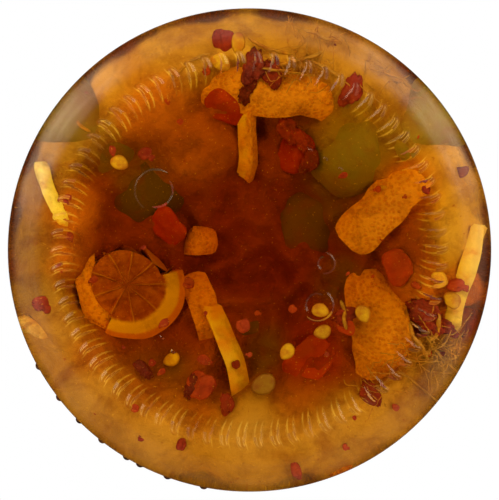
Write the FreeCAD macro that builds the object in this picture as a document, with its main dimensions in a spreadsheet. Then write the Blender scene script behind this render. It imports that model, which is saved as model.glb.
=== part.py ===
"""A screw-lid glass jar of marinated olives, as a parametric document.

The jar stands upright on the ribs of its base, +Z up, with the origin on its axis in the resting plane.
Lengths are millimetres and angles are degrees. The sheet holds the driving sizes, and every feature reads it.
Four pieces: the glass, its filling of oil and contents, the sheet-metal lid, and the lid's sealing ring.
"""
import FreeCAD, Part

import math
import os

import Sketcher

# alias, value, what it is
SIZES = [
    ("body_diameter", 75.0, "outside of the heel band and of the shoulder band"),
    ("glass_height", 108.0, "resting plane to the lip"),
    ("wall", 2.4, "side wall at the label panel"),
    ("floor_height", 5.0, "resting plane to the inside floor"),
    ("panel_recess", 0.45, "how far the label panel lies under the bands"),
    ("band_height", 5.5, "straight part of the heel band, and of the shoulder band"),
    ("band_slope", 1.6, "height of the slope between a band and the panel"),
    ("band_round", 4.0, "rounding of the slope's two ends"),
    ("heel_radius", 6.6, "rounding under the heel band"),
    ("inner_heel_radius", 6.0, "rounding inside, round the floor"),
    ("shoulder_height", 9.0, "height of the sloping shoulder"),
    ("shoulder_radius", 7.0, "rounding over the shoulder band"),
    ("shoulder_wall", 1.1, "how far the inside of the shoulder lies under its outside"),
    ("inner_shoulder_radius", 6.0, "the shoulder's two roundings inside"),
    ("collar_radius", 1.8, "hollow rounding between shoulder and neck"),
    ("neck_diameter", 62.6, "outside of the neck"),
    ("neck_wall", 3.5, "wall of the neck"),
    ("lip_radius", 1.3, "rounding of the lip, inside and outside"),
    ("bead_rise", 2.2, "foot of the neck to the transfer bead"),
    ("bead_depth", 1.2, "how far the transfer bead stands out"),
    ("bead_height", 1.6, "outer face of the transfer bead"),
    ("bead_round", 1.2, "rounding of that face's edges"),
    ("bead_gap", 1.6, "transfer bead to the lid's rolled edge"),
    ("push_up", 2.4, "hollow under the base, at its middle"),
    ("hollow_inset", 5.4, "edge of that hollow, in from the start of the heel's rounding"),
    ("rib_count", 70, "grip ribs round the resting ring"),
    ("rib_inset", 2.2, "middle of the ring of ribs, in from the start of the heel's rounding"),
    ("rib_height", 0.35, "how far a rib stands out of the base"),
    ("rib_tube", 0.75, "radius of a rib's round back"),
    ("rib_bow", 3.4, "radius of a rib's crescent"),
    ("rib_lean", 54.0, "tilt of the crescent from upright"),
    ("rib_sweep", 90.0, "arc of the crescent, with both ends buried in the glass"),
    ("dot_radius", 0.75, "mould code dots on the heel band"),
    ("dot_proud", 0.42, "how far a dot stands out"),
    ("dot_rise", 1.6, "dots above the foot of the heel band"),
    ("mark_tube", 0.45, "radius of the round back of a plain mark in the hollow base"),
    ("mark_proud", 0.25, "how far a plain mark stands out of the hollow base"),
    ("thread_count", 4, "lug threads on the neck, and lugs on the lid"),
    ("thread_tube", 1.0, "radius of a thread's round back"),
    ("thread_proud", 0.8, "how far a thread stands out of the neck"),
    ("thread_sweep", 64.0, "arc of one thread"),
    ("thread_tilt", 3.6, "slope of one thread"),
    ("thread_drop", 5.6, "lip to the middle of a thread"),
    ("fill_drop", 12.6, "lip to the surface of the oil"),
    ("plate", 0.3, "thickness of the lid's steel"),
    ("thread_gap", 0.3, "room between the threads and the lid's rolled edge"),
    ("lug_gap", 0.25, "room between a lug and the neck, and under the thread"),
    ("lug_sweep", 24.0, "arc of one lug"),
    ("curl_radius", 0.7, "radius of the rolled edge and of a lug"),
    ("lid_corner", 1.5, "rounding of the lid's top edge"),
    ("lid_step", 0.8, "how far the lid's middle panel lies under its rim"),
    ("lid_step_run", 1.2, "width of the slope down to that panel"),
    ("button_diameter", 22.0, "safety button in the middle of the lid"),
    ("button_height", 0.5, "its rise"),
    ("button_run", 1.5, "width of its sloping edge"),
    ("seal_thickness", 1.0, "sealing ring, between the lid and the lip"),
    ("seal_overhang", 0.6, "how far the ring reaches past the lip, each way"),
    ("seal_room", 0.3, "room between the ring and the lid's step"),
]

# Mould code dots: the first one's bearing from +X towards +Y, the step of the code, and the steps used.
CODE_START = 101.0
CODE_STEP = 3.58
CODE_PLACES = (0, 2.5, 4.5, 5.5, 7.5, 9.5, 11.5, 14)

# Plain marks in the hollow base, each at a bearing and a share of the hollow's radius: rings, with the radius of
# their line, and dots.
MARK_RINGS = ((10.0, 0.46, 1.3), (39.0, 0.53, 2.1), (212.5, 0.67, 2.9))
MARK_DOTS = ((301.5, 0.70), (310.0, 0.71), (318.5, 0.73), (135.0, 0.74), (127.0, 0.76))

doc = FreeCAD.newDocument("olive_jar")
sheet = doc.addObject("Spreadsheet::Sheet", "sheet")
for row, (alias, value, note) in enumerate(SIZES, start=1):
    sheet.set(f"A{row}", alias)
    sheet.set(f"B{row}", str(value))
    sheet.setAlias(f"B{row}", alias)
    sheet.set(f"C{row}", note)
doc.recompute()

# Radii and heights of the glass, as formulas in the sheet's values.
BODY_R = "(sheet.body_diameter / 2)"
PANEL_R = f"({BODY_R} - sheet.panel_recess)"
INNER_R = f"({PANEL_R} - sheet.wall)"
NECK_R = "(sheet.neck_diameter / 2)"
MOUTH_R = f"({NECK_R} - sheet.neck_wall)"
RING_R = f"({BODY_R} - sheet.heel_radius - sheet.rib_inset)"
HOLLOW_R = f"({BODY_R} - sheet.heel_radius - sheet.hollow_inset)"
HOLLOW_BOW = f"(({HOLLOW_R} ^ 2 + sheet.push_up ^ 2) / (2 * sheet.push_up))"
BASE_Z = "sheet.rib_height"
FLOOR_Z = "sheet.floor_height"
LIP_Z = "sheet.glass_height"
HEEL_Z = "(sheet.rib_height + sheet.heel_radius)"

# From the lip down: the threads, the lid's lugs under them, the transfer bead, the neck's foot, the shoulder.
THREAD_Z = f"({LIP_Z} - sheet.thread_drop)"
THREAD_FALL = f"({NECK_R} * sin(sheet.lug_sweep * 0.5 deg) * tan(sheet.thread_tilt * 1 deg))"
LUG_Z = f"({THREAD_Z} - {THREAD_FALL} - sheet.thread_tube - sheet.lug_gap - sheet.curl_radius)"
BEAD_TOP_Z = f"({LUG_Z} - sheet.curl_radius - sheet.bead_gap)"
BEAD_Z = f"({BEAD_TOP_Z} - 2 * sheet.bead_depth - sheet.bead_height)"
NECK_Z = f"({BEAD_Z} - sheet.bead_rise)"
SHOULDER_Z = f"({NECK_Z} - sheet.shoulder_height)"
SHOULDER_BAND_Z = f"({SHOULDER_Z} - sheet.band_height)"
HEEL_BAND_Z = f"({HEEL_Z} + sheet.band_height)"

# The lid: its skirt clears the threads by the width of the rolled edge, and its rim lies on the sealing ring.
CURL_R = f"({NECK_R} + sheet.thread_proud + sheet.thread_gap + sheet.curl_radius)"
LID_R = f"({CURL_R} + sheet.curl_radius)"
RIM_Z = f"({LIP_Z} + sheet.seal_thickness)"
STEP_R = f"({MOUTH_R} - sheet.seal_overhang - sheet.seal_room)"
PANEL_Z = f"({RIM_Z} - sheet.lid_step)"
BUTTON_R = "(sheet.button_diameter / 2)"

# The outside of the glass, from the middle of the base up to the lip, and its inside, from the lip down.
OUTSIDE = [
    ("0", BASE_Z),
    (BODY_R, BASE_Z),
    (BODY_R, HEEL_BAND_Z),
    (PANEL_R, f"{HEEL_BAND_Z} + sheet.band_slope"),
    (PANEL_R, f"{SHOULDER_BAND_Z} - sheet.band_slope"),
    (BODY_R, SHOULDER_BAND_Z),
    (BODY_R, SHOULDER_Z),
    (NECK_R, NECK_Z),
    (NECK_R, BEAD_Z),
    (f"{NECK_R} + sheet.bead_depth", f"{BEAD_Z} + sheet.bead_depth"),
    (f"{NECK_R} + sheet.bead_depth", f"{BEAD_TOP_Z} - sheet.bead_depth"),
    (NECK_R, BEAD_TOP_Z),
    (NECK_R, LIP_Z),
]
INSIDE = [
    (MOUTH_R, LIP_Z),
    (MOUTH_R, f"{NECK_Z} - sheet.shoulder_wall"),
    (INNER_R, f"{SHOULDER_Z} - sheet.shoulder_wall"),
    (INNER_R, FLOOR_Z),
    ("0", FLOOR_Z),
]


def worked_out(formula):
    """The number that a formula in the sheet's values comes to."""
    return float(sheet.evalExpression(formula))


def new_body(name):
    body = doc.addObject("PartDesign::Body", name)
    body.Label = name
    return body


def of_origin(body, role):
    """One of a body's own origin planes or axes."""
    return next(item for item in body.Origin.OriginFeatures if item.Role == role)


def upright_sketch(body, name):
    sketch = body.newObject("Sketcher::SketchObject", name)
    sketch.AttachmentSupport = [(of_origin(body, "XZ_Plane"), "")]
    sketch.MapMode = "FlatFace"
    return sketch


def hold_start(sketch, index, radius, height):
    """Holds the first point of one of a sketch's lines to a radius and a height, given as formulas."""
    for kind, formula, axis in (("DistanceX", radius, -2), ("DistanceY", height, -1)):
        if formula == "0":
            sketch.addConstraint(Sketcher.Constraint("PointOnObject", index, 1, axis))
        else:
            place = sketch.addConstraint(Sketcher.Constraint(kind, -1, 1, index, 1, worked_out(formula)))
            sketch.setExpression(f"Constraints[{place}]", formula)


def outline(body, name, corners):
    """A closed outline of straight sides in the plane of the axis, its corners held to radii and heights."""
    sketch = upright_sketch(body, name)
    places = [FreeCAD.Vector(worked_out(radius), worked_out(height), 0) for radius, height in corners]
    for place, following in zip(places, places[1:] + places[:1]):
        sketch.addGeometry(Part.LineSegment(place, following), False)
    for index, (radius, height) in enumerate(corners):
        before = (index - 1) % len(corners)
        sketch.addConstraint(Sketcher.Constraint("Coincident", before, 2, index, 1))
        hold_start(sketch, index, radius, height)
    return sketch


def turned(body, name, sketch, kind="PartDesign::Revolution"):
    """A sketch turned full circle about the jar's axis: added as it is, or cut away as a groove."""
    before = body.Shape.Volume if kind == "PartDesign::Groove" else 0.0
    feature = body.newObject(kind, name)
    feature.Profile = sketch
    feature.ReferenceAxis = (sketch, ["V_Axis"])
    feature.Angle = 360.0
    doc.recompute()
    if before and not feature.Shape.Volume < before:
        raise RuntimeError(f"{name} cuts nothing")
    return feature


def round_edges(shape, radius, height):
    """The names of a shape's round edges about the jar's axis at one radius and height."""
    names = []
    for index, edge in enumerate(shape.Edges, start=1):
        if isinstance(edge.Curve, Part.Circle):
            middle = edge.Curve.Center
            off = (edge.Curve.Radius - radius, middle.x, middle.y, middle.z - height)
            if max(abs(part) for part in off) < 0.001:
                names.append(f"Edge{index}")
    if not names:
        raise RuntimeError(f"no round edge of radius {radius:g} at height {height:g}")
    return names


def rounded(body, name, corners, radius):
    """Rounds the round edges that stand at some of an outline's corners."""
    base = body.Tip
    names = []
    for corner_radius, corner_height in corners:
        names += round_edges(base.Shape, worked_out(corner_radius), worked_out(corner_height))
    feature = body.newObject("PartDesign::Fillet", name)
    feature.Base = (base, names)
    feature.setExpression("Radius", radius)
    doc.recompute()


def repeated(body, name, feature, count):
    """A feature repeated evenly round the jar's axis, with a note if copies are lost."""
    bare = feature.BaseFeature.Shape.Volume
    pattern = body.newObject("PartDesign::PolarPattern", name)
    pattern.Originals = [feature]
    pattern.Axis = (of_origin(body, "Z_Axis"), [""])
    pattern.Angle = 360.0
    pattern.setExpression("Occurrences", count)
    body.Tip = pattern
    doc.recompute()
    if pattern.Shape.Volume - bare < (worked_out(count) - 0.5) * (feature.Shape.Volume - bare):
        print(f"{name}: some copies are lost")


def bar_arc(body, name, bow, tube, sweep, centre, middle, normal):
    """An arc of round bar: its bow and tube as radii, and the directions of its middle and of its normal."""
    feature = body.newObject("PartDesign::AdditiveTorus", name)
    feature.setExpression("Radius1", bow)
    feature.setExpression("Radius2", tube)
    feature.setExpression("Angle3", sweep)
    start = FreeCAD.Rotation(normal, -worked_out(sweep) / 2).multVec(middle)
    turn = FreeCAD.Rotation(start, normal.cross(start), normal, "ZXY")
    feature.Placement = FreeCAD.Placement(centre, turn)
    doc.recompute()
    return feature


def bead(body, name, radius, centre):
    """A round bead, buried to its centre or beyond."""
    feature = body.newObject("PartDesign::AdditiveSphere", name)
    feature.setExpression("Radius", radius)
    feature.Placement = FreeCAD.Placement(centre, FreeCAD.Rotation())
    doc.recompute()


def round_the_inside(body):
    rounded(body, "inner_heel", [INSIDE[3]], "sheet.inner_heel_radius")
    rounded(body, "inner_shoulder", INSIDE[1:3], "sheet.inner_shoulder_radius")


def hollow_the_base(body):
    """Cuts the shallow dome under the base."""
    sketch = upright_sketch(body, "hollow_outline")
    edge = FreeCAD.Vector(worked_out(HOLLOW_R), worked_out(BASE_Z), 0)
    foot = FreeCAD.Vector(0, worked_out(BASE_Z), 0)
    top = FreeCAD.Vector(0, worked_out(f"{BASE_Z} + sheet.push_up"), 0)
    bow = worked_out(HOLLOW_BOW)
    circle = Part.Circle(FreeCAD.Vector(0, top.y - bow, 0), FreeCAD.Vector(0, 0, 1), bow)
    dome, bottom, axis = 0, 1, 2
    sketch.addGeometry(Part.ArcOfCircle(circle, math.asin((edge.y - top.y + bow) / bow), math.pi / 2), False)
    sketch.addGeometry(Part.LineSegment(foot, edge), False)
    sketch.addGeometry(Part.LineSegment(top, foot), False)
    sketch.addConstraint(Sketcher.Constraint("Coincident", bottom, 2, dome, 1))
    sketch.addConstraint(Sketcher.Constraint("Coincident", dome, 2, axis, 1))
    sketch.addConstraint(Sketcher.Constraint("Coincident", axis, 2, bottom, 1))
    sketch.addConstraint(Sketcher.Constraint("PointOnObject", dome, 3, -2))
    hold_start(sketch, dome, HOLLOW_R, BASE_Z)
    hold_start(sketch, bottom, "0", BASE_Z)
    hold_start(sketch, axis, "0", f"({BASE_Z} + sheet.push_up)")
    turned(body, "base_hollow", sketch, "PartDesign::Groove")


def add_ribs(body):
    """The crescent ribs that the jar stands on: leaning arcs of bar, with just their backs out of the base."""
    lean = math.radians(sheet.rib_lean)
    outward = FreeCAD.Vector(1, 0, 0)
    down = FreeCAD.Vector(0, math.sin(lean), -math.cos(lean))
    back = FreeCAD.Vector(worked_out(RING_R), 0, sheet.rib_tube)
    centre = back - down * sheet.rib_bow
    normal = down.cross(outward)
    rib = bar_arc(body, "rib", "sheet.rib_bow", "sheet.rib_tube", "sheet.rib_sweep", centre, down, normal)
    repeated(body, "ribs", rib, "sheet.rib_count")


def add_code_dots(body):
    distance = worked_out(f"{BODY_R} + sheet.dot_proud - sheet.dot_radius")
    height = worked_out(f"{HEEL_Z} + sheet.dot_rise")
    for number, place in enumerate(CODE_PLACES, start=1):
        bearing = math.radians(CODE_START + CODE_STEP * place)
        centre = FreeCAD.Vector(distance * math.cos(bearing), distance * math.sin(bearing), height)
        bead(body, f"code_dot_{number}", "sheet.dot_radius", centre)


def on_the_dome(bearing, share):
    """The centre line of a mark in the hollow base, and the dome's direction there."""
    bow = worked_out(HOLLOW_BOW)
    distance = share * worked_out(HOLLOW_R)
    angle = math.radians(bearing)
    across = FreeCAD.Vector(distance * math.cos(angle), distance * math.sin(angle), 0)
    upward = FreeCAD.Vector(across.x, across.y, math.sqrt(bow**2 - distance**2)) / bow
    centre = FreeCAD.Vector(0, 0, worked_out(f"{BASE_Z} + sheet.push_up - {HOLLOW_BOW}"))
    return centre + upward * (bow + sheet.mark_tube - sheet.mark_proud), upward


def add_base_marks(body):
    for number, (bearing, share, radius) in enumerate(MARK_RINGS, start=1):
        centre, upward = on_the_dome(bearing, share)
        side = upward.cross(FreeCAD.Vector(1, 0, 0)).normalize()
        bar_arc(body, f"base_ring_{number}", str(radius), "sheet.mark_tube", "360", centre, side, upward)
    for number, (bearing, share) in enumerate(MARK_DOTS, start=1):
        bead(body, f"base_dot_{number}", "sheet.mark_tube", on_the_dome(bearing, share)[0])


def add_threads(body):
    tilt = math.radians(sheet.thread_tilt)
    thread = bar_arc(
        body,
        "thread",
        f"{NECK_R} + sheet.thread_proud - sheet.thread_tube",
        "sheet.thread_tube",
        "sheet.thread_sweep",
        FreeCAD.Vector(0, 0, worked_out(THREAD_Z)),
        FreeCAD.Vector(1, 0, 0),
        FreeCAD.Vector(0, -math.sin(tilt), math.cos(tilt)),
    )
    repeated(body, "threads", thread, "sheet.thread_count")


def make_glass():
    """The glass in one piece, from its ribbed and hollow base to its threaded neck."""
    body = new_body("glass_jar")
    turned(body, "glass_wall", outline(body, "wall_outline", OUTSIDE + INSIDE))
    round_the_inside(body)
    rounded(body, "heel", [OUTSIDE[1]], "sheet.heel_radius")
    rounded(body, "bands", OUTSIDE[2:6], "sheet.band_round")
    rounded(body, "shoulder", [OUTSIDE[6]], "sheet.shoulder_radius")
    rounded(body, "collar", [OUTSIDE[7]], "sheet.collar_radius")
    rounded(body, "transfer_bead", OUTSIDE[9:11], "sheet.bead_round")
    rounded(body, "lip", [OUTSIDE[12], INSIDE[0]], "sheet.lip_radius")
    hollow_the_base(body)
    add_ribs(body)
    add_code_dots(body)
    add_base_marks(body)
    add_threads(body)
    return body


def make_filling():
    """Oil and contents: all of the jar's inside, cut off at the surface of the oil."""
    body = new_body("filling")
    turned(body, "inside", outline(body, "inside_outline", [("0", LIP_Z)] + INSIDE))
    round_the_inside(body)
    surface = f"({LIP_Z} - sheet.fill_drop)"
    above = [("0", surface), (INNER_R, surface), (INNER_R, RIM_Z), ("0", RIM_Z)]
    turned(body, "headspace", outline(body, "headspace_outline", above), "PartDesign::Groove")
    return body


def make_lid():
    """The lid: a pressed sheet with a raised rim, a sunk panel, a safety button, a rolled edge and lugs."""
    body = new_body("lid")
    foot = (LID_R, LUG_Z)
    upper = [
        (LID_R, f"{RIM_Z} + sheet.plate"),
        (STEP_R, f"{RIM_Z} + sheet.plate"),
        (f"{STEP_R} - sheet.lid_step_run", f"{PANEL_Z} + sheet.plate"),
        (BUTTON_R, f"{PANEL_Z} + sheet.plate"),
        (f"{BUTTON_R} - sheet.button_run", f"{PANEL_Z} + sheet.button_height + sheet.plate"),
        ("0", f"{PANEL_Z} + sheet.button_height + sheet.plate"),
    ]
    under = [
        ("0", f"{PANEL_Z} + sheet.button_height"),
        (f"{BUTTON_R} - sheet.button_run", f"{PANEL_Z} + sheet.button_height"),
        (BUTTON_R, PANEL_Z),
        (f"{STEP_R} - sheet.lid_step_run", PANEL_Z),
        (STEP_R, RIM_Z),
        (f"{LID_R} - sheet.plate", RIM_Z),
    ]
    inner_foot = (f"{LID_R} - sheet.plate", LUG_Z)
    turned(body, "sheet_metal", outline(body, "lid_outline", [foot] + upper + under + [inner_foot]))
    rounded(body, "top_edge", [upper[0]], "sheet.lid_corner")
    rounded(body, "top_edge_inside", [under[-1]], "sheet.lid_corner - sheet.plate")
    centre = FreeCAD.Vector(0, 0, worked_out(LUG_Z))
    ahead = FreeCAD.Vector(1, 0, 0)
    upward = FreeCAD.Vector(0, 0, 1)
    bar_arc(body, "rolled_edge", CURL_R, "sheet.curl_radius", "360", centre, ahead, upward)
    lug_bow = f"{NECK_R} + sheet.lug_gap + sheet.curl_radius"
    lug = bar_arc(body, "lug", lug_bow, "sheet.curl_radius", "sheet.lug_sweep", centre, ahead, upward)
    repeated(body, "lugs", lug, "sheet.thread_count")
    return body


def make_seal():
    """The sealing ring that the lid presses on the lip."""
    body = new_body("lid_seal")
    inner = f"{MOUTH_R} - sheet.seal_overhang"
    outer = f"{NECK_R} + sheet.seal_overhang"
    section = [(inner, LIP_Z), (outer, LIP_Z), (outer, RIM_Z), (inner, RIM_Z)]
    turned(body, "ring", outline(body, "ring_outline", section))
    return body


def write_pieces(pieces):
    """Checks every object and every piece, and writes one file for each piece."""
    doc.recompute()
    for item in doc.Objects:
        if any(state in ("Invalid", "Error") for state in item.State):
            raise RuntimeError(f"{item.Name} failed: {item.State}")
    for piece in pieces:
        shape = piece.Shape
        if shape.isNull() or not shape.isValid() or len(shape.Solids) != 1:
            raise RuntimeError(f"{piece.Label} is not one valid solid")
    os.makedirs("parts", exist_ok=True)
    for piece in pieces:
        piece.Shape.exportStep(f"parts/{piece.Label}.step")
        print(f"{piece.Label}: {piece.Shape.Volume / 1000:.1f} cm3")


write_pieces([make_glass(), make_filling(), make_lid(), make_seal()])
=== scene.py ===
"""The looks of a glass jar of marinated olives, round the jar's fixed frame."""

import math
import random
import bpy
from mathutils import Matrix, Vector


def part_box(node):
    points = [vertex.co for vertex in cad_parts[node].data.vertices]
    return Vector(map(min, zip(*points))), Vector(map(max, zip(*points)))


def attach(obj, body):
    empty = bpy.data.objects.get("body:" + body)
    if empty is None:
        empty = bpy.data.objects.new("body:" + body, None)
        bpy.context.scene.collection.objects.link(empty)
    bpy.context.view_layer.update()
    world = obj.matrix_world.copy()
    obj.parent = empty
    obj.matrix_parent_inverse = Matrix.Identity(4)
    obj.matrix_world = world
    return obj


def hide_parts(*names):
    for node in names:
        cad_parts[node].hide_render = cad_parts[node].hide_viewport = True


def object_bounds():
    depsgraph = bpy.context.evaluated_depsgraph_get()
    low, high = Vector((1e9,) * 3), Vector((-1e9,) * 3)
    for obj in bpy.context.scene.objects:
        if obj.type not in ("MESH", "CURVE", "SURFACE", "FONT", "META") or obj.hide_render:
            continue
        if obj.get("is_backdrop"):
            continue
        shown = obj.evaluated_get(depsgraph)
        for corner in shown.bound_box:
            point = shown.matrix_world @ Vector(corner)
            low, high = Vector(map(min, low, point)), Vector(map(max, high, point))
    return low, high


bl_info = {
    "name": "Jar of Marinated Olives",
    "version": (1, 0, 0),
    "blender": (4, 5, 0),
    "location": "View3D > Sidebar > Olive Jar",
    "description": "Dresses the jar's frame in glass, oil, olives, peel, chilli and a lacquered lid",
    "category": "Object",
}

import bpy
from bpy.props import FloatProperty, FloatVectorProperty, IntProperty, PointerProperty
from mathutils import Matrix, Vector, noise

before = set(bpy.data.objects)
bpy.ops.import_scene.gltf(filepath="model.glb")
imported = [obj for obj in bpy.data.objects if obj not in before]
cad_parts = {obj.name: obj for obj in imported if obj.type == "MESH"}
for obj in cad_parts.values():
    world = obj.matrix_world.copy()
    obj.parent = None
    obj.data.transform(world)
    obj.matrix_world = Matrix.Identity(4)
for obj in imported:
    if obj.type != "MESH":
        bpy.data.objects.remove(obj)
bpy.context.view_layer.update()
MM = 0.001
TOUCH = 0.01 * MM
WHITE = (1.0, 1.0, 1.0)
GOLDEN_ANGLE = 137.5

# What the frame says: the glass's outside, and its inside as far as the oil.
glass_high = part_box("glass_jar")[1]
inside_low, inside_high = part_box("filling")
BODY_R = glass_high.x
LIP_Z = glass_high.z
INNER_R = inside_high.x
FLOOR_Z = inside_low.z
OIL_Z = inside_high.z


def length(name, value, description):
    return FloatProperty(name=name, description=description, default=value * MM, unit="LENGTH", precision=5)


def colour(name, value, description):
    return FloatVectorProperty(
        name=name, description=description, default=value, size=3, subtype="COLOR", min=0, max=1
    )


class JarShape(bpy.types.PropertyGroup):
    """Sizes of the glass that the frame's boxes don't tell."""

    base_rise: length("Base rise", 0.35, "Height of the glass between the resting ribs")
    heel: length("Heel", 6.6, "Rounding under the heel band")
    inner_heel: length("Inner heel", 6.0, "Rounding round the inside floor")
    band: length("Band", 5.5, "Straight part of the heel band and of the shoulder band")
    slope: length("Slope", 1.6, "Height of the slope from a band to the label panel")
    recess: length("Recess", 0.45, "Depth of the label panel")
    shoulder_foot: length("Shoulder foot", 82.54, "Height of the shoulder's lower corner")
    neck_foot: length("Neck foot", 91.54, "Height of the neck's lower corner")
    neck: length("Neck", 31.3, "Outer radius of the neck")
    mouth: length("Mouth", 27.8, "Radius of the neck's bore")
    bead_foot: length("Bead foot", 93.74, "Height of the transfer bead's lower edge")
    bead_depth: length("Bead depth", 1.2, "How far the transfer bead stands out")
    bead_face: length("Bead face", 1.6, "Height of the transfer bead's face")
    shoulder_wall: length("Shoulder wall", 1.1, "How far the shoulder's inside lies under its outside")
    hollow: length("Hollow", 25.5, "Radius of the hollow under the base")
    push_up: length("Push-up", 2.4, "Depth of that hollow at its middle")
    rib_ring: length("Rib ring", 28.7, "Radius of the ring of resting ribs")
    rib_bow: length("Rib bow", 3.4, "Radius of a rib's crescent")
    rib_tube: length("Rib back", 0.75, "Radius of a rib's round back")
    rib_count: IntProperty(name="Ribs", description="Resting ribs round the base", default=70, min=3)


class JarColours(bpy.types.PropertyGroup):
    """Colours of the contents, as they are out of the oil."""

    oil: colour("Oil", (0.97, 0.88, 0.0), "What the oil lets through")
    cloud: colour("Cloud", (0.56, 0.24, 0.038), "Cloudy oil and pulp against the glass")
    depth: colour("Depth", (0.24, 0.035, 0.006), "The mass of olives and peppers behind")
    olive: colour("Olive", (0.29, 0.14, 0.012), "Green olives")
    dark_olive: colour("Dark olive", (0.15, 0.065, 0.01), "Dark olives")
    zest: colour("Zest", (0.56, 0.125, 0.009), "Outside of the orange peel")
    pith: colour("Pith", (0.80, 0.40, 0.04), "Inside of the orange peel")
    pulp: colour("Pulp", (0.27, 0.038, 0.005), "Flesh of the orange")
    pepper: colour("Pepper", (0.30, 0.014, 0.005), "Red pepper")
    chilli: colour("Chilli", (0.13, 0.012, 0.012), "Dried chilli")
    seed: colour("Seed", (0.80, 0.40, 0.012), "Chilli seeds")
    herb: colour("Herb", (0.54, 0.20, 0.018), "Herb stalks")


# ---------------------------------------------------------------- meshes


def clean_start():
    if bpy.context.object and bpy.context.object.mode != "OBJECT":
        bpy.ops.object.mode_set(mode="OBJECT")
    bpy.ops.object.select_all(action="DESELECT")


def only(piece):
    """Makes one object the only selected one, and the active one."""
    clean_start()
    piece.select_set(True)
    bpy.context.view_layer.objects.active = piece


def named(name):
    piece = bpy.context.object
    piece.name = name
    piece.data.name = name
    return piece


def basic(kind, name, **settings):
    """One of Blender's basic meshes."""
    clean_start()
    getattr(bpy.ops.mesh, "primitive_" + kind + "_add")(**settings)
    return named(name)


def modifier(piece, kind, **settings):
    """Adds a modifier with its settings and applies it."""
    only(piece)
    made = piece.modifiers.new(kind.title(), kind)
    for key, value in settings.items():
        setattr(made, key, value)
    bpy.ops.object.modifier_apply(modifier=made.name)


def edit(piece):
    only(piece)
    bpy.ops.object.mode_set(mode="EDIT")
    bpy.ops.mesh.select_all(action="SELECT")


def done():
    bpy.ops.object.mode_set(mode="OBJECT")


def pick_faces(piece, test):
    """Selects the faces whose middle and normal pass a test, ready for an edit-mode operator."""
    only(piece)
    bpy.ops.object.mode_set(mode="EDIT")
    bpy.ops.mesh.select_mode(type="FACE")
    bpy.ops.mesh.select_all(action="DESELECT")
    bpy.ops.object.mode_set(mode="OBJECT")
    for face in piece.data.polygons:
        face.select = test(face.center, face.normal)
    bpy.ops.object.mode_set(mode="EDIT")


def reshape(piece, rule):
    """Moves each vertex to where a rule puts it."""
    for vertex in piece.data.vertices:
        vertex.co = rule(vertex.co)
    piece.data.update()


def smooth(piece, degrees=None):
    only(piece)
    if degrees is None:
        bpy.ops.object.shade_smooth()
    else:
        bpy.ops.object.shade_smooth_by_angle(angle=math.radians(degrees))


def mark(piece, name, values):
    """Writes a value on each vertex, for a finish to read."""
    layer = piece.data.attributes.get(name) or piece.data.attributes.new(name, "FLOAT", "POINT")
    layer.data.foreach_set("value", values)


def joined(name, parts):
    """Some meshes as one piece."""
    clean_start()
    for part in parts:
        part.select_set(True)
    bpy.context.view_layer.objects.active = parts[0]
    bpy.ops.object.join()
    return named(name)


def reach(point):
    """How far a point lies from the jar's axis."""
    return math.hypot(point[0], point[1])


def clamped(value):
    """The value, kept from 0 to 1."""
    return min(1.0, max(0.0, value))


def rounded_outline(corners):
    """Points along an outline whose corners are (radius, height, rounding)."""
    step = math.radians(9)
    points = []
    for index, (radius, height, rounding) in enumerate(corners):
        here = Vector((radius, height))
        if not rounding:
            points.append(here)
            continue
        before = (Vector(corners[index - 1][:2]) - here).normalized()
        after = (Vector(corners[index + 1][:2]) - here).normalized()
        half = before.angle(after) / 2
        centre = here + (before + after).normalized() * rounding / math.sin(half)
        start = here + before * rounding / math.tan(half) - centre
        turn = (math.pi - 2 * half) * (1 if before.x * after.y - before.y * after.x < 0 else -1)
        count = max(2, round(abs(turn) / step))
        points += [centre + Matrix.Rotation(turn * k / count, 2) @ start for k in range(count + 1)]
    return points


def filled_in(points, longest):
    """The same outline with its long straight runs divided."""
    out = [points[0]]
    for before, after in zip(points, points[1:]):
        parts = max(1, math.ceil((after - before).length / longest))
        out += [before.lerp(after, k / parts) for k in range(1, parts + 1)]
    return out


def spun(name, outline, steps):
    """An outline in the XZ plane spun round the axis into a closed skin."""
    clean_start()
    mesh = bpy.data.meshes.new(name)
    edges = [(i, i + 1) for i in range(len(outline) - 1)]
    mesh.from_pydata([(max(point.x, 0.0), 0.0, point.y) for point in outline], edges, [])
    piece = bpy.data.objects.new(name, mesh)
    bpy.context.collection.objects.link(piece)
    edit(piece)
    bpy.ops.mesh.spin(steps=steps, angle=2 * math.pi, center=(0, 0, 0), axis=(0, 0, 1))
    bpy.ops.mesh.select_all(action="SELECT")
    bpy.ops.mesh.remove_doubles(threshold=1e-6)
    bpy.ops.mesh.normals_make_consistent(inside=False)
    done()
    return piece


# ---------------------------------------------------------------- finishes


def joins(operation, reflected=False):
    """An operator of Wired, which adds a Math node."""

    def join(self, other):
        return self.finish.math(operation, *((other, self) if reflected else (self, other)))

    return join


class Wired:
    """A node's output that takes part in sums and products."""

    __add__, __radd__ = joins("ADD"), joins("ADD", True)
    __sub__, __rsub__ = joins("SUBTRACT"), joins("SUBTRACT", True)
    __mul__, __rmul__ = joins("MULTIPLY"), joins("MULTIPLY", True)
    __pow__ = joins("POWER")

    def __init__(self, finish, socket):
        self.finish = finish
        self.socket = socket

    def between(self, low, high):
        """0 below low, 1 above high and a smooth step between."""
        limits = {"Value": self, "From Min": low, "From Max": high}
        return self.finish.node("MapRange", limits, interpolation_type="SMOOTHSTEP")

    def output(self, name):
        return Wired(self.finish, self.socket.node.outputs[name])


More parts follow.
